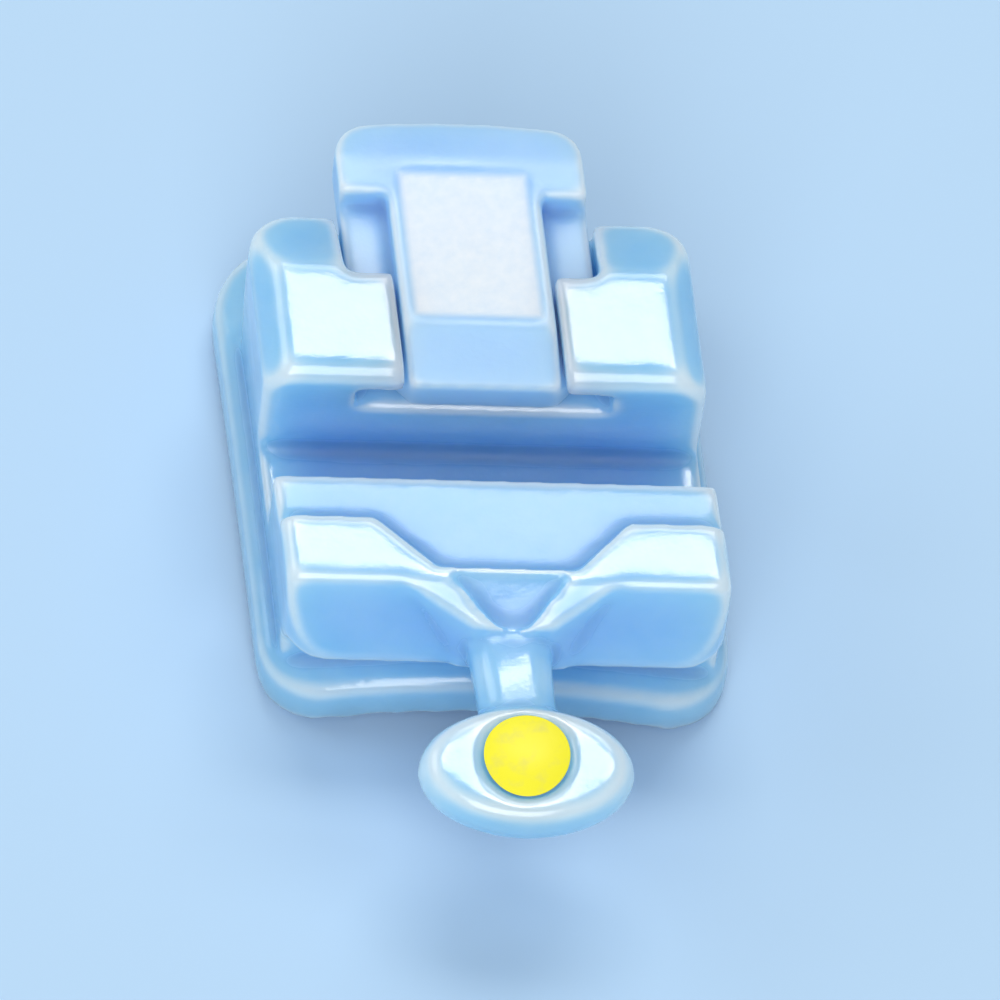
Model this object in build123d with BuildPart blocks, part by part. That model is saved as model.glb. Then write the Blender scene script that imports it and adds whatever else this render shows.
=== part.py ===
from build123d import *
from math import radians, sin, sqrt, tan
import os

# A self-ligating ceramic bracket for a lower left canine. Lengths are in millimetres.
# X runs along the arch with mesial at -X, Y up the crown to its biting edge, Z out from the tooth.
# The origin is in the plane of the bonding pad's rim, right behind the middle of the archwire slot.

# Prescription, in degrees: torque leans the slot's outer face up the crown, tip leans the sides mesially
torque = 6.0
tip = 7.0

# Archwire slot, 0.022 by 0.028 inch, with its floor above the plane of the pad's rim
slot_height = 0.56
slot_depth = 0.71
slot_floor = 1.10

# Bonding pad, curved like the enamel round the arch and up the crown
pad_width = 3.30
pad_incisal = 2.20
pad_gingival = 1.38
pad_corner = 0.50
pad_thickness = 0.42
pad_edge_round = 0.10
enamel_arch_radius = 3.90
enamel_crown_radius = 9.50

# Square keying pockets in the back of the pad
key_size = 0.26
key_depth = 0.11
key_pitch = 0.41
keys_across = 6
keys_up = 8

# Body: its top stands above the slot's floor
body_width = 3.06
body_foot_width = 2.96
body_corner = 0.32
body_top = 1.23
body_bevel = 0.17
body_bevel_drop = 0.20
body_shoulder = 0.60

# Incisal rails, measured up the crown from the slot's middle
rail_front_top = 1.15
rail_flat_start = 0.36
rail_flat_end = 1.14
rail_end = 1.60
rail_end_top = 0.98
rail_tip_bottom = 0.42
incisal_groove = 0.26
incisal_groove_height = 0.34

# Gingival wings, measured down from the slot's middle
wing_top = 1.10
wing_crest = 1.14
wing_tip = 1.44
wing_tip_top = 0.42
wing_tip_bottom = 0.26
wing_groove = 0.30

# Land below the slot: a band and a trapezoid tongue, sunk between the wings and rising away from the slot
land_low = 0.88
land_high = 0.98
band_end = 0.66
tongue_width = 1.74
tongue_end_width = 0.96
tongue_end = 1.02

# Keel between the wings: two rims that fall away to the hook, with a valley between them
keel_width = 1.50
keel_end_width = 0.44
keel_end = 1.40
keel_bottom = 0.30
keel_flare = 0.16
keel_fall = 0.16
valley_start = 1.06
valley_width = 0.88
valley_end_width = 0.20
valley_top = 1.06
valley_fall = 0.28

# Hook: a waisted neck and a wide head, with a dimple a little nearer the neck
hook_reach = 2.39
hook_height = 0.72
hook_shift = -0.02
neck_root_width = 0.64
neck_root_height = 0.60
neck_root_level = 0.60
neck_root_reach = 1.10
neck_waist_width = 0.54
neck_waist_height = 0.42
neck_waist_level = 0.62
neck_waist_reach = 1.76
neck_corner = 0.16
head_width = 1.50
head_girth = 0.90
head_flat = 0.22
dimple_radius = 0.30
dimple_depth = 0.10
dimple_shift = 0.05
dot_crown = 0.04

# Sliding door, drawn open
door_fit = 0.02
door_width = 1.72
door_column = 1.06
flange_thickness = 0.26
nose_gap = 0.02
nose_tip_width = 1.00
nose_taper = 0.36
nose_ramp = 0.42
nose_ramp_drop = 0.16
tail_end = 2.26
tail_block = 0.58
tail_bow = 0.06
tail_slope_start = 1.93
tail_drop = 0.10
tail_corner = 0.24
panel_width = 0.92
panel_start = 0.76
panel_end = 1.86
panel_depth = 0.03
panel_corner = 0.10

# Spring pin under the door: a slit tube that clicks into either end of the door's waisted groove
pin_up = 1.06
pin_radius = 0.17
pin_wall = 0.07
pin_slit = 0.07
pin_seat = 0.62
pin_rise = 0.17
groove_fit = 0.02
groove_squeeze = 0.01
groove_head_room = 0.04

# Roundings and the overrun of every cut
edge_round = 0.06
crest_round = 0.14
bevel_round = 0.12
door_round = 0.04
overrun = 0.50


def lean(across, up):
    """A point of the slot plane, moved mesially by the tip angle."""
    return (across - up * tan(radians(tip)), up)


def sag(radius, reach):
    """How far an arc has dropped at a distance from its top."""
    return radius - sqrt(radius**2 - reach**2)


# The slot plane carries the torque. The flank plane looks along the wire, the front plane along the door.
pad_length = pad_incisal + pad_gingival
pad_middle = (pad_incisal - pad_gingival) / 2
slot_plane = Plane((0, 0, slot_floor)).rotated((torque, 0, 0))
slide = slot_plane.y_dir.rotate(Axis(slot_plane.origin, slot_plane.z_dir), tip)
across = slide.cross(slot_plane.z_dir)
flank_plane = Plane(slot_plane.origin, x_dir=slot_plane.y_dir, z_dir=slot_plane.x_dir)
front_plane = Plane(slot_plane.origin, x_dir=across, z_dir=-slide)

# The enamel's crest behind the pad, set so that the pad's rounded corners just reach the rim plane
corner_cut = pad_corner * (1 - sqrt(0.5))
corner_across = pad_width / 2 - corner_cut
corner_up = pad_length / 2 + pad_width / 2 * sin(radians(tip)) - corner_cut
enamel_crest = sag(enamel_crown_radius - sag(enamel_arch_radius, corner_across), corner_up)
enamel_crest += sag(enamel_arch_radius, corner_across)
pad_centre = lean(0, pad_middle)
tooth_plane = Plane((*pad_centre, enamel_crest), x_dir=Plane.XY.rotated((0, 0, tip)).x_dir)
enamel_plane = Plane(tooth_plane.origin, x_dir=tooth_plane.x_dir, z_dir=-tooth_plane.y_dir)


def enamel(grown):
    """The labial face of the crown as a barrel, grown by a thickness and drawn on its far side."""
    barrel_axis = Axis(tooth_plane.offset(-enamel_crown_radius).origin, tooth_plane.x_dir)
    with BuildPart() as barrel:
        with BuildSketch(enamel_plane):
            with Locations((0, enamel_arch_radius - enamel_crown_radius * 2)):
                Circle(enamel_arch_radius + grown)
            with Locations((0, -enamel_crown_radius * 2)):
                Rectangle(pad_width * 2, enamel_arch_radius, mode=Mode.INTERSECT)
        revolve(axis=barrel_axis)
    return barrel.part


def slab(outline):
    """Draws a closed straight-sided outline where its points say."""
    return Polygon(*outline, align=None)


def trapezoid(near_width, near, far_width, far):
    """Corners of a plan shape on the slot plane whose sides follow the tip."""
    return (
        lean(-near_width / 2, near),
        lean(near_width / 2, near),
        lean(far_width / 2, far),
        lean(-far_width / 2, far),
    )


# Levels above the slot's floor and places up the crown that pieces share. The door shuts by sliding
# across the slot until its nose is a fit's width from the gingival wall.
slot_edge = slot_height / 2
door_bed = slot_depth - door_fit
flange_top = slot_depth + flange_thickness
nose_open = slot_edge + nose_gap
door_travel = nose_open + slot_edge - door_fit
block_start = tail_end - tail_block
notch_start = block_start - door_travel - door_fit
body_depth = slot_floor + overrun
pin_place = lean(0, pin_up)
groove_end = lean(0, pin_up + door_travel)
head_centre = slot_plane.from_local_coords((*lean(hook_shift, -hook_reach), hook_height))
head_plane = Plane(head_centre, x_dir=slot_plane.x_dir, z_dir=slot_plane.z_dir)
dimple_place = lean(0, dimple_shift)

# Bonding pad: a leaning parallelogram with its front and back on the enamel's curve
with BuildPart() as pad:
    with BuildSketch(Plane.XY) as pad_outline:
        slab(trapezoid(pad_width, -pad_gingival, pad_width, pad_incisal))
        fillet(pad_outline.vertices(), pad_corner)
    extrude(amount=enamel_crest + pad_thickness + overrun)
    add(enamel(pad_thickness), mode=Mode.INTERSECT)
    fillet(pad.faces().sort_by(Axis.Z)[-1].edges(), pad_edge_round)

# Keying pockets: a square grid laid along the pad's own sides, as deep everywhere as the enamel's curve
with BuildPart() as keys:
    with BuildSketch(Plane(tooth_plane.origin, x_dir=tooth_plane.x_dir).offset(-enamel_crest)):
        with GridLocations(key_pitch, key_pitch, keys_across, keys_up):
            Rectangle(key_size, key_size)
    extrude(amount=enamel_crest + key_depth)
    add(enamel(key_depth), mode=Mode.INTERSECT)

# Land: the space over a sloping floor, with a band along the slot and a tongue between the wings
with BuildPart() as land:
    with BuildSketch(slot_plane):
        slab(trapezoid(pad_width, 0, pad_width, -band_end))
        slab(trapezoid(tongue_width, -band_end, tongue_end_width, -tongue_end))
    extrude(amount=wing_top + overrun)
    with BuildSketch(flank_plane):
        slab(
            (
                (0, land_low),
                (-slot_edge, land_low),
                (-tongue_end, land_high),
                (-tongue_end, wing_top + overrun),
                (0, wing_top + overrun),
            )
        )
    extrude(amount=pad_width, both=True, mode=Mode.INTERSECT)

# Valley: the space over a floor that falls from the end of the tongue down to the hook's neck
with BuildPart() as valley:
    with BuildSketch(slot_plane):
        slab(trapezoid(valley_width, -valley_start, valley_end_width, -keel_end))
    extrude(amount=wing_top + overrun)
    with BuildSketch(flank_plane):
        slab(
            (
                (-valley_start, valley_top),
                (-valley_start, wing_top + overrun),
                (-keel_end, wing_top + overrun),
                (-keel_end, valley_top - valley_fall),
            )
        )
    extrude(amount=pad_width, both=True, mode=Mode.INTERSECT)

# Body of the bracket: flank, front and plan outlines meet in one block on the pad
with BuildPart() as bracket_body:
    with BuildSketch(flank_plane) as flank:
        slab(
            (
                (-wing_tip + wing_groove, -body_depth),
                (-wing_tip + wing_groove, 0),
                (-wing_tip + wing_groove / 2, wing_tip_bottom),
                (-wing_tip, wing_tip_bottom),
                (-wing_tip, wing_tip_top),
                (-wing_crest, wing_top),
                (0, wing_top),
                (0, rail_front_top),
                (slot_edge, rail_front_top),
                (rail_flat_start, body_top),
                (rail_flat_end, body_top),
                (rail_end, rail_end_top),
                (rail_end, rail_tip_bottom),
                (rail_end - incisal_groove, rail_tip_bottom - incisal_groove_height / 2),
                (rail_end - incisal_groove, -body_depth),
            )
        )
        fillet([v for v in flank.vertices() if v.Y > body_top - edge_round], crest_round)
        fillet([v for v in flank.vertices() if abs(v.X) > slot_edge and 0 < v.Y < rail_front_top], edge_round)
    extrude(amount=body_width, both=True)
    with BuildSketch(front_plane) as front:
        slab(
            (
                (-body_foot_width / 2, -body_depth),
                (body_foot_width / 2, -body_depth),
                (body_width / 2, body_shoulder),
                (body_width / 2, body_top - body_bevel_drop),
                (body_width / 2 - body_bevel, body_top),
                (body_bevel - body_width / 2, body_top),
                (-body_width / 2, body_top - body_bevel_drop),
                (-body_width / 2, body_shoulder),
            )
        )
        fillet([v for v in front.vertices() if v.Y > body_shoulder], bevel_round)
    extrude(amount=pad_length, both=True, mode=Mode.INTERSECT)
    with BuildSketch(slot_plane) as plan:
        slab(trapezoid(body_width, -wing_tip, body_width, rail_end))
        fillet(plan.vertices(), body_corner)
    extrude(amount=body_depth, both=True, mode=Mode.INTERSECT)

    # Keel between the wings, its crest falling away to the hook
    for level, flare in ((wing_top, 0), (keel_bottom, keel_flare)):
        with BuildSketch(slot_plane.offset(level)):
            slab(
                trapezoid(
                    keel_width + flare * 2,
                    -wing_crest,
                    keel_end_width + flare * 2,
                    -keel_end - flare / 2,
                )
            )
    loft()
    with BuildSketch(flank_plane):
        slab(
            (
                (-wing_crest, wing_top),
                (-wing_crest, wing_top + overrun),
                (-keel_end - overrun, wing_top + overrun),
                (-keel_end - overrun, wing_top - keel_fall * (1 + overrun / (keel_end - wing_crest))),
            )
        )
    extrude(amount=keel_width, both=True, mode=Mode.SUBTRACT)
    add(valley.part, mode=Mode.SUBTRACT)

    # Hook neck, lofted from the keel through a waist into the head
    for reach, level, width, height in (
        (neck_root_reach, neck_root_level, neck_root_width, neck_root_height),
        (neck_waist_reach, neck_waist_level, neck_waist_width, neck_waist_height),
        (hook_reach, hook_height, neck_waist_width, neck_waist_height),
    ):
        centre = slot_plane.from_local_coords((*lean(hook_shift, -reach), level))
        with BuildSketch(Plane(centre, x_dir=across, z_dir=-slide)):
            RectangleRounded(width, height, neck_corner)
    loft()

    # Hook head, a spheroid lying along the arch, with a flat and a dimple for the colour mark
    with BuildSketch(head_plane):
        with BuildLine():
            distal = EllipticalCenterArc((0, 0), head_width / 2, head_girth / 2, arc_size=90)
            mesial = EllipticalCenterArc((0, 0), head_width / 2, head_girth / 2, start_angle=90, arc_size=90)
            Line(mesial @ 1, distal @ 0)
        make_face()
    revolve(axis=Axis(head_centre, slot_plane.x_dir))
    with BuildSketch(head_plane.offset(head_flat)):
        Rectangle(head_width, head_girth)
    extrude(amount=head_girth, mode=Mode.SUBTRACT)
    add(pad.part)
    add(enamel(0), mode=Mode.SUBTRACT)
    add(keys.part, mode=Mode.SUBTRACT)

    # Archwire slot
    with BuildSketch(flank_plane):
        with Locations((0, body_top / 2)):
            Rectangle(slot_height, body_top)
    extrude(amount=pad_width, both=True, mode=Mode.SUBTRACT)

    # Way of the door: flange grooves under the rails, the open top, and the notch for its tail
    with BuildSketch(front_plane):
        with Locations((0, (door_bed + flange_top + door_fit) / 2)):
            Rectangle(door_width + door_fit * 2, flange_top + door_fit - door_bed)
        with Locations((0, (door_bed + body_top + overrun) / 2)):
            Rectangle(door_column + door_fit * 2, body_top + overrun - door_bed)
    extrude(amount=-pad_length, mode=Mode.SUBTRACT)
    notch_width = door_width + door_fit * 2
    with BuildSketch(slot_plane.offset(door_bed)):
        slab(trapezoid(notch_width, notch_start, notch_width, pad_incisal + overrun))
    extrude(amount=body_top, mode=Mode.SUBTRACT)

    # Sunk land between the wings
    add(land.part, mode=Mode.SUBTRACT)

    # Blind seat of the spring pin
    with BuildSketch(slot_plane.offset(door_bed)):
        with Locations(pin_place):
            Circle(pin_radius)
    extrude(amount=-pin_seat, mode=Mode.SUBTRACT)

    # Dimple of the colour mark
    with BuildSketch(head_plane.offset(head_flat)):
        with Locations(dimple_place):
            Circle(dimple_radius)
    extrude(amount=-dimple_depth, mode=Mode.SUBTRACT)

bracket_body.part.label = "bracket_body"

# Sliding door, drawn open: a flanged plate with a proud column and a block across its tail
with BuildPart() as slide_door:
    with BuildSketch(front_plane) as section:
        with Locations((0, (slot_depth + flange_top) / 2)):
            Rectangle(door_width, flange_thickness)
        with Locations((0, (slot_depth + body_top) / 2)):
            Rectangle(door_column, body_top - slot_depth)
        fillet(section.vertices().group_by(Axis.Y)[-1], door_round)
    extrude(amount=-(tail_end + overrun))
    with BuildSketch(slot_plane.offset(slot_depth)):
        slab(trapezoid(door_width, block_start, door_width, tail_end + overrun))
    extrude(amount=body_top - slot_depth)

    # Plan outline: tapered nose along the slot, bowed tail with round corners
    with BuildSketch(slot_plane.offset(slot_depth)) as outline:
        with BuildLine():
            Polyline(
                lean(-door_width / 2, tail_end - tail_bow),
                lean(-door_width / 2, nose_open + nose_taper),
                lean(-nose_tip_width / 2, nose_open),
                lean(nose_tip_width / 2, nose_open),
                lean(door_width / 2, nose_open + nose_taper),
                lean(door_width / 2, tail_end - tail_bow),
            )
            ThreePointArc(
                lean(door_width / 2, tail_end - tail_bow),
                lean(0, tail_end),
                lean(-door_width / 2, tail_end - tail_bow),
            )
        make_face()
        fillet(outline.vertices().filter_by(lambda v: v.Y > block_start), tail_corner)
    extrude(amount=body_top, mode=Mode.INTERSECT)

    # Ramp down to the nose, slope down to the tail, and the shallow panel that is left matt
    with BuildSketch(flank_plane):
        slab(
            (
                (nose_open, body_top - nose_ramp_drop),
                (nose_open + nose_ramp, body_top),
                (nose_open + nose_ramp, body_top + overrun),
                (nose_open, body_top + overrun),
            )
        )
        slab(
            (
                (tail_slope_start, body_top),
                (tail_end + tail_bow, body_top - tail_drop),
                (tail_end + tail_bow, body_top + overrun),
                (tail_slope_start, body_top + overrun),
            )
        )
    extrude(amount=door_width, both=True, mode=Mode.SUBTRACT)
    with BuildSketch(slot_plane.offset(body_top)) as panel:
        slab(trapezoid(panel_width, panel_start, panel_width, panel_end))
        fillet(panel.vertices(), panel_corner)
    extrude(amount=-panel_depth, mode=Mode.SUBTRACT)

    # Waisted groove for the spring pin, round at both ends of the travel
    with BuildSketch(slot_plane.offset(slot_depth)):
        with Locations(pin_place, groove_end):
            Circle(pin_radius + groove_fit)
        waist = (pin_radius - groove_squeeze) * 2
        slab(trapezoid(waist, pin_up, waist, pin_up + door_travel))
    extrude(amount=pin_rise - door_fit + groove_head_room, mode=Mode.SUBTRACT)

slide_door.part.label = "slide_door"

# Spring pin: a tube slit along its length, pressed into the body
with BuildPart() as spring_pin:
    with BuildSketch(slot_plane.offset(door_bed - pin_seat)):
        with Locations(pin_place):
            Circle(pin_radius)
            Circle(pin_radius - pin_wall, mode=Mode.SUBTRACT)
        with Locations(lean(0, pin_up + pin_radius)):
            Rectangle(pin_slit, pin_radius * 2, mode=Mode.SUBTRACT)
    extrude(amount=pin_seat + pin_rise)

spring_pin.part.label = "spring_pin"

# Colour mark: a low dome of enamel paint that fills the dimple in the hook's head
with BuildPart() as id_dot:
    with BuildSketch(head_plane.offset(head_flat - dimple_depth)):
        with Locations(dimple_place):
            Circle(dimple_radius)
    extrude(amount=dimple_depth + dot_crown)

id_dot.part.label = "id_dot"

os.makedirs("parts", exist_ok=True)
for piece in (bracket_body, slide_door, spring_pin, id_dot):
    export_step(piece.part, "parts/" + piece.part.label + ".step")
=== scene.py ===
import math

import bmesh
import bpy
from mathutils import Matrix, Vector


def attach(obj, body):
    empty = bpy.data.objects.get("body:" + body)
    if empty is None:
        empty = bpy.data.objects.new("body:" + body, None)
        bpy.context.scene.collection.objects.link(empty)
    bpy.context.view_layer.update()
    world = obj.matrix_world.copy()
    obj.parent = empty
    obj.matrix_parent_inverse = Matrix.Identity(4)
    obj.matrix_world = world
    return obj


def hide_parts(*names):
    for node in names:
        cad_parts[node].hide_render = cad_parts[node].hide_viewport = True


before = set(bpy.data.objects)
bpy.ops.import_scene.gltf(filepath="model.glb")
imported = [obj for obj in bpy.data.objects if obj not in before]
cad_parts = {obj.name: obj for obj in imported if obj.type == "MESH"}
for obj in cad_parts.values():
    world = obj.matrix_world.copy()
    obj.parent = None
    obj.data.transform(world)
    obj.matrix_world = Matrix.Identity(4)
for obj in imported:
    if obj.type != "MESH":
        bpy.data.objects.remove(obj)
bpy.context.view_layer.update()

# Body: one piece of translucent alumina with the slot, the rails, the wings, the pad and the hook in it.
# It is moulded from ceramic powder, sintered and then tumbled, which leaves every edge a little soft and
# the flats polished, while the inner corners stay matt.
mm = 0.001  # sizes are in millimetres, and this turns them into metres
torque = math.radians(6)
tip = math.radians(7)
slot_floor = 1.10
body_grain = 0.030
body_tumbling = 6
long_tumbling = 36
tumbling_stroke = 0.5
wear_share = 0.22
proud_span = 0.055
weld = 0.0001
rim_level = 0.45
rim_edge = 0.62
rim_strokes = 10
# The body's blue is painted light: the blue of its surroundings, seen through and mirrored in the
# alumina, which is itself milky white.
body_painted_blue_light = (0.20, 0.51, 0.85, 1)
# The edge colour tints the clouds, and it is also the painted light laid on the outer edges.
body_cloud_and_lit_edge_colour = (0.62, 0.80, 1.0, 1)
body_clouds = 0.40
body_roughness = 0.14
body_depth = 0.95
alumina_ior = 1.76
cloud_size = 0.6
cloud_detail = 3
cloud_relief = 12
grain_per_mm = 30
grain_detail = 2
skin_relief = 0.25
skin_height = 0.004
# Painted light on the outer edges starts at this proud value.
painted_edge_light_start = 0.6
# Painted shade: inner corners are darkened down to this share of their colour.
painted_corner_shade = 0.86
corner_start = 0.48
corner_end = 0.15
patchy_least = 0.5
patchy_most = 1.6
matt_start = 0.5
matt_end = 0.1
matt_most = 4

# The bracket's own directions: along the wire, up the crown as the door slides, and out from the tooth
slot_turn = Matrix.Rotation(torque, 3, "X") @ Matrix.Rotation(tip, 3, "Z")


def place(across, up, out):
    """A point in metres, from millimetres along the slot plane and out from the slot's floor."""
    in_plane = Vector((across - up * math.tan(tip), up, out))
    return (Vector((0, 0, slot_floor)) + Matrix.Rotation(torque, 3, "X") @ in_plane) * mm


def new_object(name, edit):
    """An object at the origin whose mesh is taken from a finished bmesh."""
    mesh = bpy.data.meshes.new(name)
    edit.to_mesh(mesh)
    edit.free()
    obj = bpy.data.objects.new(name, mesh)
    bpy.context.collection.objects.link(obj)
    return obj


def tumble(edit, verts, rounds):
    """Softens a surface: each round moves a vertex part of the way to the middle of its neighbours."""
    for _ in range(rounds):
        bmesh.ops.smooth_vert(
            edit,
            verts=verts,
            factor=tumbling_stroke,
            use_axis_x=True,
            use_axis_y=True,
            use_axis_z=True,
        )


def tumbled(node, name, grain, rounds):
    """A CAD node's shape with softened edges. It is worked at a thousand times its size and squared up
    to the slot, so that long edges come out straight. A copy is tumbled for much longer: the piece wears
    a share of the way towards it, which crowns its flats, and each vertex keeps how far it stands proud
    of it, where 1 is an outer edge, 0.5 a flat and 0 an inner corner."""
    edit = bmesh.new()
    edit.from_mesh(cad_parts[node].data)
    bmesh.ops.remove_doubles(edit, verts=edit.verts, dist=weld * mm)
    bmesh.ops.scale(edit, vec=Vector((1, 1, 1)) / mm, verts=edit.verts)
    bmesh.ops.rotate(edit, matrix=slot_turn.transposed(), verts=edit.verts)
    coarse = new_object(name + "_coarse", edit)
    remesh = coarse.modifiers.new("grain", "REMESH")
    remesh.mode = "VOXEL"
    remesh.voxel_size = grain
    depsgraph = bpy.context.evaluated_depsgraph_get()
    even = bpy.data.meshes.new_from_object(coarse.evaluated_get(depsgraph))
    bpy.data.objects.remove(coarse)

    edit = bmesh.new()
    edit.from_mesh(even)
    tumble(edit, edit.verts, rounds)
    edit.normal_update()
    proud = edit.verts.layers.float.new("proud")
    worn = edit.copy()
    tumble(worn, worn.verts, long_tumbling)
    for vert, worn_vert in zip(edit.verts, worn.verts):
        vert[proud] = min(1, max(0, 0.5 + (vert.co - worn_vert.co).dot(vert.normal) / proud_span))
        vert.co = vert.co.lerp(worn_vert.co, wear_share)
    worn.free()
    bmesh.ops.rotate(edit, matrix=slot_turn, verts=edit.verts)
    bmesh.ops.scale(edit, vec=Vector((1, 1, 1)) * mm, verts=edit.verts)
    for face in edit.faces:
        face.smooth = True
    return new_object(name, edit)


def new_material(name):
    """A node material with its Principled shader."""
    material = bpy.data.materials.new(name)
    material.use_nodes = True
    return material, material.node_tree, material.node_tree.nodes["Principled BSDF"]


def socket(group, name, kind, way, value=None):
    """One named input or output of a shader group."""
    made = group.interface.new_socket(name, in_out=way, socket_type="NodeSocket" + kind)
    if value is not None:
        made.default_value = value


def ceramic_group():
    """Sintered ceramic: soft clouds in its colour and its polish, outer edges lightened with painted
    light, as light shining through thin edges would make them, inner corners darkened with painted shade
    and left matt, and a fine grain on its skin."""
    group = bpy.data.node_groups.new("sintered_ceramic", "ShaderNodeTree")
    socket(group, "Colour", "Color", "INPUT", body_painted_blue_light)
    socket(group, "Cloud and Lit Edge Colour", "Color", "INPUT", body_cloud_and_lit_edge_colour)
    socket(group, "Cloud Size", "Float", "INPUT", cloud_size * mm)
    socket(group, "Cloud Strength", "Float", "INPUT", body_clouds)
    socket(group, "Roughness", "Float", "INPUT", body_roughness)
    socket(group, "Colour", "Color", "OUTPUT")
    socket(group, "Roughness", "Float", "OUTPUT")
    socket(group, "Height", "Float", "OUTPUT")
    nodes, link = group.nodes, group.links.new
    given = nodes.new("NodeGroupInput")
    result = nodes.new("NodeGroupOutput")
    spot = nodes.new("ShaderNodeTexCoord")

    finer = nodes.new("ShaderNodeMath")
    finer.operation = "DIVIDE"
    finer.inputs[0].default_value = 1
    link(given.outputs["Cloud Size"], finer.inputs[1])
    cloud = nodes.new("ShaderNodeTexNoise")
    cloud.inputs["Detail"].default_value = cloud_detail
    link(spot.outputs["Object"], cloud.inputs["Vector"])
    link(finer.outputs[0], cloud.inputs["Scale"])
    milk = nodes.new("ShaderNodeMath")
    milk.operation = "MULTIPLY"
    link(cloud.outputs["Fac"], milk.inputs[0])
    link(given.outputs["Cloud Strength"], milk.inputs[1])
    clouded = nodes.new("ShaderNodeMix")
    clouded.data_type = "RGBA"
    link(milk.outputs[0], clouded.inputs["Factor"])
    link(given.outputs["Colour"], clouded.inputs["A"])
    link(given.outputs["Cloud and Lit Edge Colour"], clouded.inputs["B"])

    proud = nodes.new("ShaderNodeAttribute")
    proud.attribute_name = "proud"
    # Painted light: outer edges are lightened towards the edge colour, as light shining through thin
    # alumina would make them.
    edge = nodes.new("ShaderNodeMapRange")
    edge.interpolation_type = "SMOOTHSTEP"
    edge.inputs["From Min"].default_value = painted_edge_light_start
    link(proud.outputs["Fac"], edge.inputs["Value"])
    painted_edge_light = nodes.new("ShaderNodeMix")
    painted_edge_light.data_type = "RGBA"
    link(edge.outputs["Result"], painted_edge_light.inputs["Factor"])
    link(clouded.outputs["Result"], painted_edge_light.inputs["A"])
    link(given.outputs["Cloud and Lit Edge Colour"], painted_edge_light.inputs["B"])
    # Painted shade: inner corners are darkened, as if little light reached into them.
    corner = nodes.new("ShaderNodeMapRange")
    corner.interpolation_type = "SMOOTHSTEP"
    corner.inputs["From Min"].default_value = corner_end
    corner.inputs["From Max"].default_value = corner_start
    corner.inputs["To Min"].default_value = painted_corner_shade
    link(proud.outputs["Fac"], corner.inputs["Value"])
    with_painted_shade = nodes.new("ShaderNodeMix")
    with_painted_shade.data_type = "RGBA"
    with_painted_shade.blend_type = "MULTIPLY"
    with_painted_shade.inputs["Factor"].default_value = 1
    link(painted_edge_light.outputs["Result"], with_painted_shade.inputs["A"])
    link(corner.outputs["Result"], with_painted_shade.inputs["B"])
    link(with_painted_shade.outputs["Result"], result.inputs["Colour"])

    grain = nodes.new("ShaderNodeTexNoise")
    grain.inputs["Scale"].default_value = grain_per_mm / mm
    grain.inputs["Detail"].default_value = grain_detail
    link(spot.outputs["Object"], grain.inputs["Vector"])
    relief = nodes.new("ShaderNodeMath")
    relief.operation = "MULTIPLY_ADD"
    relief.inputs[1].default_value = cloud_relief
    link(cloud.outputs["Fac"], relief.inputs[0])
    link(grain.outputs["Fac"], relief.inputs[2])
    link(relief.outputs[0], result.inputs["Height"])
    patchy = nodes.new("ShaderNodeMapRange")
    patchy.inputs["To Min"].default_value = patchy_least
    patchy.inputs["To Max"].default_value = patchy_most
    link(cloud.outputs["Fac"], patchy.inputs["Value"])
    polish = nodes.new("ShaderNodeMapRange")
    polish.interpolation_type = "SMOOTHSTEP"
    polish.inputs["From Min"].default_value = matt_end
    polish.inputs["From Max"].default_value = matt_start
    polish.inputs["To Min"].default_value = matt_most
    polish.inputs["To Max"].default_value = 1
    link(proud.outputs["Fac"], polish.inputs["Value"])
    worn = nodes.new("ShaderNodeMath")
    worn.operation = "MULTIPLY"
    link(patchy.outputs["Result"], worn.inputs[0])
    link(polish.outputs["Result"], worn.inputs[1])
    rough = nodes.new("ShaderNodeMath")
    rough.operation = "MULTIPLY"
    rough.use_clamp = True
    link(worn.outputs[0], rough.inputs[0])
    link(given.outputs["Roughness"], rough.inputs[1])
    link(rough.outputs[0], result.inputs["Roughness"])
    return group


sintered_ceramic = ceramic_group()


def alumina(name, colour, cloud_and_lit_edge_colour, clouds, roughness, depth):
    """Translucent alumina of one colour and finish, with light going into it to a depth."""
    material, tree, shader = new_material(name)
    skin = tree.nodes.new("ShaderNodeGroup")
    skin.node_tree = sintered_ceramic
    skin.inputs["Colour"].default_value = colour
    skin.inputs["Cloud and Lit Edge Colour"].default_value = cloud_and_lit_edge_colour
    skin.inputs["Cloud Size"].default_value = cloud_size * mm
    skin.inputs["Cloud Strength"].default_value = clouds
    skin.inputs["Roughness"].default_value = roughness
    tree.links.new(skin.outputs["Colour"], shader.inputs["Base Color"])
    tree.links.new(skin.outputs["Roughness"], shader.inputs["Roughness"])
    bump = tree.nodes.new("ShaderNodeBump")
    bump.inputs["Strength"].default_value = skin_relief
    bump.inputs["Distance"].default_value = skin_height * mm
    tree.links.new(skin.outputs["Height"], bump.inputs["Height"])
    tree.links.new(bump.outputs["Normal"], shader.inputs["Normal"])
    shader.inputs["IOR"].default_value = alumina_ior
    shader.inputs["Subsurface Weight"].default_value = 1
    shader.inputs["Subsurface Radius"].default_value = (1, 1, 1)
    shader.inputs["Subsurface Scale"].default_value = depth * mm
    return material, skin


body = tumbled("bracket_body", "ceramic_body", body_grain, body_tumbling)

# The edges round the pad's back are rubbed down a little more than the rest
rim_edit = bmesh.new()
rim_edit.from_mesh(body.data)
rim_proud = rim_edit.verts.layers.float["proud"]
rim = [vert for vert in rim_edit.verts if vert.co.z < rim_level * mm and vert[rim_proud] > rim_edge]
tumble(rim_edit, rim, rim_strokes)
rim_edit.to_mesh(body.data)
rim_edit.free()
body_alumina, _ = alumina(
    "body_alumina", body_painted_blue_light, body_cloud_and_lit_edge_colour, body_clouds, body_roughness, body_depth
)
body.data.materials.append(body_alumina)
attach(body, "bracket")
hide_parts("bracket_body")

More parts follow.
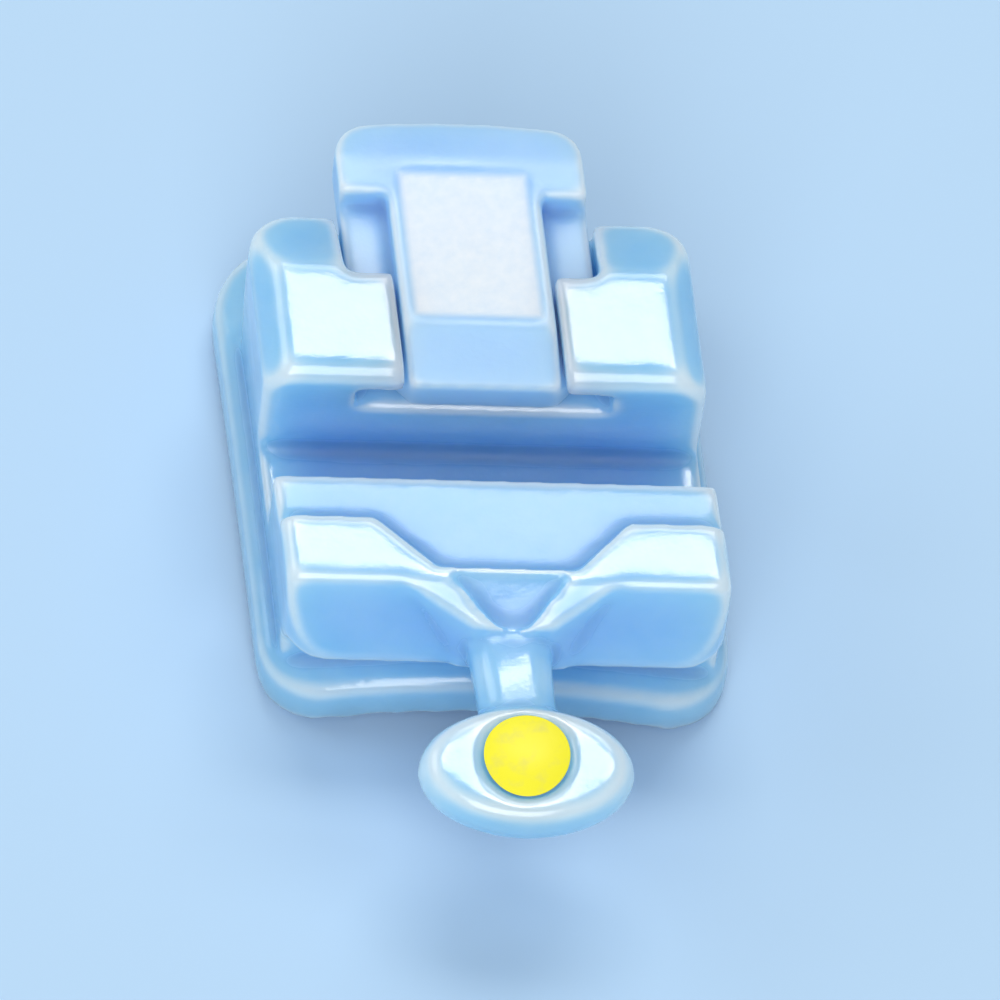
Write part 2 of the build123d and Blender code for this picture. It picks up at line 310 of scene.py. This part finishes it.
# Spring pin: nickel-titanium strip rolled into a slit tube and pressed upright into its blind seat in
# the body. The slit lets it give a little when the waist in the door's groove passes over it.
pin_up = 1.06
pin_radius = 0.17
pin_wall = 0.07
pin_slit = 0.07
pin_foot = 0.07
pin_head = 0.86
pin_lip = 0.012
pin_steps = 72
pin_colour = (0.46, 0.47, 0.49, 1)
pin_shade = 0.7
drawn_smooth = 0.22
drawn_rough = 0.5
scratches_across = 90
scratches_along = 3

pin_edit = bmesh.new()
slit_half = math.asin(pin_slit / 2 / pin_radius)
profile = [
    pin_edit.verts.new((radius, 0, height))
    for radius, height in (
        (pin_radius - pin_wall, pin_foot),
        (pin_radius, pin_foot),
        (pin_radius, pin_head - pin_lip),
        (pin_radius - pin_lip, pin_head),
        (pin_radius - pin_wall, pin_head),
    )
]
pin_edit.faces.new(profile)
start_turn = Matrix.Rotation(math.pi / 2 + slit_half, 3, "Z")
bmesh.ops.rotate(pin_edit, matrix=start_turn, verts=pin_edit.verts)
bmesh.ops.spin(
    pin_edit,
    geom=pin_edit.faces[:],
    axis=(0, 0, 1),
    cent=(0, 0, 0),
    angle=math.tau - slit_half * 2,
    steps=pin_steps,
    use_duplicate=False,
    use_merge=False,
)
bmesh.ops.contextual_create(pin_edit, geom=[edge for edge in pin_edit.edges if edge.is_boundary])
bmesh.ops.recalc_face_normals(pin_edit, faces=pin_edit.faces)
bmesh.ops.rotate(pin_edit, matrix=slot_turn, verts=pin_edit.verts)
bmesh.ops.scale(pin_edit, vec=Vector((1, 1, 1)) * mm, verts=pin_edit.verts)
bmesh.ops.translate(pin_edit, vec=place(0, pin_up, 0), verts=pin_edit.verts)
pin = new_object("rolled_pin", pin_edit)
pin_metal, pin_tree, pin_shader = new_material("drawn_metal")
pin_shader.inputs["Metallic"].default_value = 1
along = pin_tree.nodes.new("ShaderNodeTexCoord")
stretch = pin_tree.nodes.new("ShaderNodeMapping")
stretch.inputs["Scale"].default_value = Vector((scratches_across, scratches_across, scratches_along)) / mm
scratches = pin_tree.nodes.new("ShaderNodeTexNoise")
scratches.inputs["Scale"].default_value = 1
pin_tree.links.new(along.outputs["Object"], stretch.inputs["Vector"])
pin_tree.links.new(stretch.outputs["Vector"], scratches.inputs["Vector"])
tone = pin_tree.nodes.new("ShaderNodeMix")
tone.data_type = "RGBA"
tone.inputs["A"].default_value = [pin_shade * part for part in pin_colour[:3]] + [1]
tone.inputs["B"].default_value = pin_colour
pin_tree.links.new(scratches.outputs["Fac"], tone.inputs["Factor"])
pin_tree.links.new(tone.outputs["Result"], pin_shader.inputs["Base Color"])
drawn = pin_tree.nodes.new("ShaderNodeMapRange")
drawn.inputs["To Min"].default_value = drawn_smooth
drawn.inputs["To Max"].default_value = drawn_rough
pin_tree.links.new(scratches.outputs["Fac"], drawn.inputs["Value"])
pin_tree.links.new(drawn.outputs["Result"], pin_shader.inputs["Roughness"])
pin.data.materials.append(pin_metal)
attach(pin, "bracket")
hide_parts("spring_pin")

# Door: a flanged plate of the same alumina that slides up the crown under the two rails. Its panel is
# left matt, as sintered, and scatters the light, while the nose and the tail are tumbled smooth.
door_grain = 0.022
door_tumbling = 10
door_top = 1.23
panel_half = 0.46
panel_start = 0.76
panel_end = 1.86
panel_fade = 0.05
# The door's blue is painted light as well, like the body's.
door_painted_blue_light = (0.30, 0.57, 0.88, 1)
# Its edge colour tints the clouds and is the painted light on its outer edges.
door_cloud_and_lit_edge_colour = (0.67, 0.82, 1.0, 1)
door_clouds = 0.3
door_roughness = 0.37
door_depth = 0.45
panel_colour = (0.82, 0.88, 0.96, 1)
panel_grain_colour = (0.66, 0.78, 0.92, 1)
panel_grain_per_mm = 14
panel_grain_detail = 3
panel_roughness = 0.55

door = tumbled("slide_door", "ceramic_door", door_grain, door_tumbling)
matt = door.data.attributes.new("matt", "FLOAT", "POINT")
back_turn = Matrix.Rotation(-torque, 3, "X")
for index, vert in enumerate(door.data.vertices):
    spot = back_turn @ (vert.co / mm - Vector((0, 0, slot_floor)))
    inside = min(
        panel_half - abs(spot.x + spot.y * math.tan(tip)),
        spot.y - panel_start,
        panel_end - spot.y,
        spot.z - door_top + panel_fade * 2,
    )
    matt.data[index].value = min(1, max(0, inside / panel_fade))
door_alumina, door_skin = alumina(
    "door_alumina", door_painted_blue_light, door_cloud_and_lit_edge_colour, door_clouds, door_roughness, door_depth
)
door_tree = door_alumina.node_tree
door_shader = door_tree.nodes["Principled BSDF"]
panel_mask = door_tree.nodes.new("ShaderNodeAttribute")
panel_mask.attribute_name = "matt"
speckle = door_tree.nodes.new("ShaderNodeTexNoise")
speckle.inputs["Scale"].default_value = panel_grain_per_mm / mm
speckle.inputs["Detail"].default_value = panel_grain_detail
panel_spot = door_tree.nodes.new("ShaderNodeTexCoord")
door_tree.links.new(panel_spot.outputs["Object"], speckle.inputs["Vector"])
panel_grain = door_tree.nodes.new("ShaderNodeMix")
panel_grain.data_type = "RGBA"
panel_grain.inputs["A"].default_value = panel_grain_colour
panel_grain.inputs["B"].default_value = panel_colour
door_tree.links.new(speckle.outputs["Fac"], panel_grain.inputs["Factor"])
panel_tint = door_tree.nodes.new("ShaderNodeMix")
panel_tint.data_type = "RGBA"
door_tree.links.new(panel_grain.outputs["Result"], panel_tint.inputs["B"])
door_tree.links.new(panel_mask.outputs["Fac"], panel_tint.inputs["Factor"])
door_tree.links.new(door_skin.outputs["Colour"], panel_tint.inputs["A"])
door_tree.links.new(panel_tint.outputs["Result"], door_shader.inputs["Base Color"])
panel_finish = door_tree.nodes.new("ShaderNodeMix")
panel_finish.inputs["B"].default_value = panel_roughness
door_tree.links.new(panel_mask.outputs["Fac"], panel_finish.inputs["Factor"])
door_tree.links.new(door_skin.outputs["Roughness"], panel_finish.inputs["A"])
door_tree.links.new(panel_finish.outputs["Result"], door_shader.inputs["Roughness"])
door.data.materials.append(door_alumina)
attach(door, "door")
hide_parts("slide_door")

# Colour mark: a drop of yellow enamel paint, let fall into the dimple on the hook's head and baked. It
# stands a little proud, thickest in the middle, and tells the tooth that the bracket is for.
hook_reach = 2.39
hook_height = 0.72
hook_shift = -0.02
head_flat = 0.22
dimple_radius = 0.30
dimple_depth = 0.10
dimple_shift = 0.05
dot_crown = 0.04
dot_bottom = 8
dot_lobes = 3
dot_waver = 0.012
mark_segments = 64
mark_rings = 28
mark_colour = (0.94, 0.87, 0.03, 1)
mark_thin_colour = (0.84, 0.78, 0.09, 1)
mark_roughness = 0.34
mark_gloss = 0.3
pigment_per_mm = 9
pigment_detail = 4
pigment_thin = 0.25
pigment_full = 0.5
ripple_relief = 0.12
ripple_height = 0.01

mark_edit = bmesh.new()
bmesh.ops.create_uvsphere(mark_edit, u_segments=mark_segments, v_segments=mark_rings, radius=1)
for vert in mark_edit.verts:
    reach = math.hypot(vert.co.x, vert.co.y)
    height = dot_crown * (1 - reach**2) if vert.co.z >= 0 else -dimple_depth * (1 - reach**dot_bottom)
    lobe = math.sin(dot_lobes * math.atan2(vert.co.y, vert.co.x))
    spread = dimple_radius * (1 + dot_waver * (lobe - 1))
    vert.co = Vector((vert.co.x * spread, vert.co.y * spread, height))
bmesh.ops.rotate(mark_edit, matrix=Matrix.Rotation(torque, 3, "X"), verts=mark_edit.verts)
bmesh.ops.scale(mark_edit, vec=Vector((1, 1, 1)) * mm, verts=mark_edit.verts)
mark_place = place(hook_shift, dimple_shift - hook_reach, hook_height + head_flat)
bmesh.ops.translate(mark_edit, vec=mark_place, verts=mark_edit.verts)
bmesh.ops.recalc_face_normals(mark_edit, faces=mark_edit.faces)
for face in mark_edit.faces:
    face.smooth = True
mark = new_object("paint_drop", mark_edit)
mark_paint, mark_tree, mark_shader = new_material("yellow_paint")
mark_spot = mark_tree.nodes.new("ShaderNodeTexCoord")
pigment = mark_tree.nodes.new("ShaderNodeTexNoise")
pigment.inputs["Scale"].default_value = pigment_per_mm / mm
pigment.inputs["Detail"].default_value = pigment_detail
mark_tree.links.new(mark_spot.outputs["Object"], pigment.inputs["Vector"])
pooled = mark_tree.nodes.new("ShaderNodeMix")
pooled.data_type = "RGBA"
pooled.inputs["A"].default_value = mark_thin_colour
pooled.inputs["B"].default_value = mark_colour
settled = mark_tree.nodes.new("ShaderNodeMapRange")
settled.inputs["From Min"].default_value = pigment_thin
settled.inputs["From Max"].default_value = pigment_full
mark_tree.links.new(pigment.outputs["Fac"], settled.inputs["Value"])
mark_tree.links.new(settled.outputs["Result"], pooled.inputs["Factor"])
mark_tree.links.new(pooled.outputs["Result"], mark_shader.inputs["Base Color"])
ripple = mark_tree.nodes.new("ShaderNodeBump")
ripple.inputs["Strength"].default_value = ripple_relief
ripple.inputs["Distance"].default_value = ripple_height * mm
mark_tree.links.new(pigment.outputs["Fac"], ripple.inputs["Height"])
mark_tree.links.new(ripple.outputs["Normal"], mark_shader.inputs["Normal"])
mark_shader.inputs["Roughness"].default_value = mark_roughness
mark_shader.inputs["Specular IOR Level"].default_value = mark_gloss
mark.data.materials.append(mark_paint)
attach(mark, "bracket")
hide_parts("id_dot")

# Floor: a sheet of pale blue paper under the bracket, which lies on the rim of its pad. The world beyond
# it is the same pale light all round.
floor_half = 600
floor_colour = (0.48, 0.68, 0.87, 1)
floor_roughness = 0.85
floor_gloss = 0.2
world_colour = (0.86, 0.92, 1.0, 1)
world_strength = 0.36

floor_edit = bmesh.new()
bmesh.ops.create_grid(floor_edit, x_segments=1, y_segments=1, size=floor_half * mm)
floor = new_object("floor", floor_edit)
paper, paper_tree, paper_shader = new_material("floor_paper")
paper_shader.inputs["Base Color"].default_value = floor_colour
paper_shader.inputs["Roughness"].default_value = floor_roughness
paper_shader.inputs["Specular IOR Level"].default_value = floor_gloss
floor.data.materials.append(paper)
world = bpy.data.worlds.new("studio")
bpy.context.scene.world = world
world.use_nodes = True
sky = world.node_tree.nodes["Background"]
sky.inputs["Color"].default_value = world_colour
sky.inputs["Strength"].default_value = world_strength

# Camera: it looks at the bracket from the gum side and from high up, as the photograph does. The bracket
# is three millimetres wide, so the lens is long and stands a hand's breadth away.
look_at = Vector((0.10, -0.28, 1.45)) * mm
view_azimuth = math.radians(-6)
view_elevation = math.radians(62)
view_distance = 120 * mm
view_width = 6.9 * mm
view_roll = math.radians(6.8)
view_nearest = 5 * mm
view_furthest = 10


def direction(azimuth, elevation):
    """The way from the bracket to something at an azimuth from the gum side and an elevation."""
    level = math.cos(elevation)
    return Vector((math.sin(azimuth) * level, -math.cos(azimuth) * level, math.sin(elevation)))


def facing(azimuth, elevation, distance):
    """The place of a thing that looks at the bracket from there."""
    away = direction(azimuth, elevation)
    turn = (-away).to_track_quat("-Z", "Y").to_matrix().to_4x4()
    return Matrix.Translation(look_at + away * distance) @ turn


camera_data = bpy.data.cameras.new("camera")
camera_data.clip_start = view_nearest
camera_data.clip_end = view_furthest
camera_data.angle = 2 * math.atan(view_width / 2 / view_distance)
camera = bpy.data.objects.new("camera", camera_data)
camera_place = facing(view_azimuth, view_elevation, view_distance)
camera.matrix_world = camera_place @ Matrix.Rotation(view_roll, 4, "Z")
bpy.context.collection.objects.link(camera)
bpy.context.scene.camera = camera

# Lamps: a soft box high behind the biting edge, where the rails and the wings mirror it, a weaker one
# lower down, which the land mirrors, a large one over the camera, and one on the mesial side. Each has
# its azimuth and elevation in degrees, its distance, width and height in mm, its watts and its colour.
lamps = (
    ("overhead_box", 170, 74, 300, 150, 60, 0.235, (1, 0.93, 0.89)),
    ("rear_box", 170, 58, 300, 170, 60, 0.11, (1, 1, 1)),
    ("front_box", -8, 48, 300, 160, 240, 0.42, (1, 1, 1)),
    ("side_box", -110, 38, 350, 200, 200, 0.20, (0.95, 0.97, 1)),
)
for name, azimuth, elevation, distance, width, height, power, colour in lamps:
    lamp_data = bpy.data.lights.new(name, "AREA")
    lamp_data.shape = "RECTANGLE"
    lamp_data.size = width * mm
    lamp_data.size_y = height * mm
    lamp_data.energy = power
    lamp_data.color = colour
    lamp = bpy.data.objects.new(name, lamp_data)
    lamp.matrix_world = facing(math.radians(azimuth), math.radians(elevation), distance * mm)
    bpy.context.collection.objects.link(lamp)

bpy.context.scene.view_settings.view_transform = "Standard"
